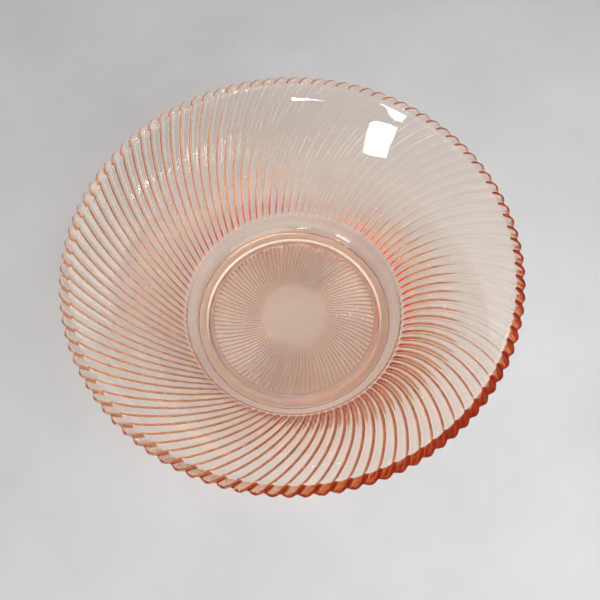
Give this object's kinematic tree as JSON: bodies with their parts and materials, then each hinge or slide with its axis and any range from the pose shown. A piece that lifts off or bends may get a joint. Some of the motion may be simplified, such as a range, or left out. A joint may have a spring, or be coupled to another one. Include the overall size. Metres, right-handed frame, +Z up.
{
  "type": "depression glass candy dish",
  "caption": "Wide flared pressed-glass dish with a swirl-ribbed outside, a scalloped rim, and a flat well on a low foot ring.",
  "frame": {"origin": "centre of the foot ring, on the table", "axes": "+Z up along the dish's axis; the dish is round, so +X and +Y are set by the first rib, whose lower end starts at +X"},
  "size_m": [0.3048, 0.3048, 0.11],
  "materials": {
    "pink_glass": "clear pale pink soda-lime glass, fire-polished, deeper orange-pink where the glass is long or grooved"
  },
  "bodies": {
    "root": {"foot_ring": "pink_glass", "fluted_base_disc": "pink_glass", "well_floor": "pink_glass", "well_heel": "pink_glass", "swirl_ribbed_wall": "pink_glass", "scalloped_rim": "pink_glass"}
  },
  "joints": []
}
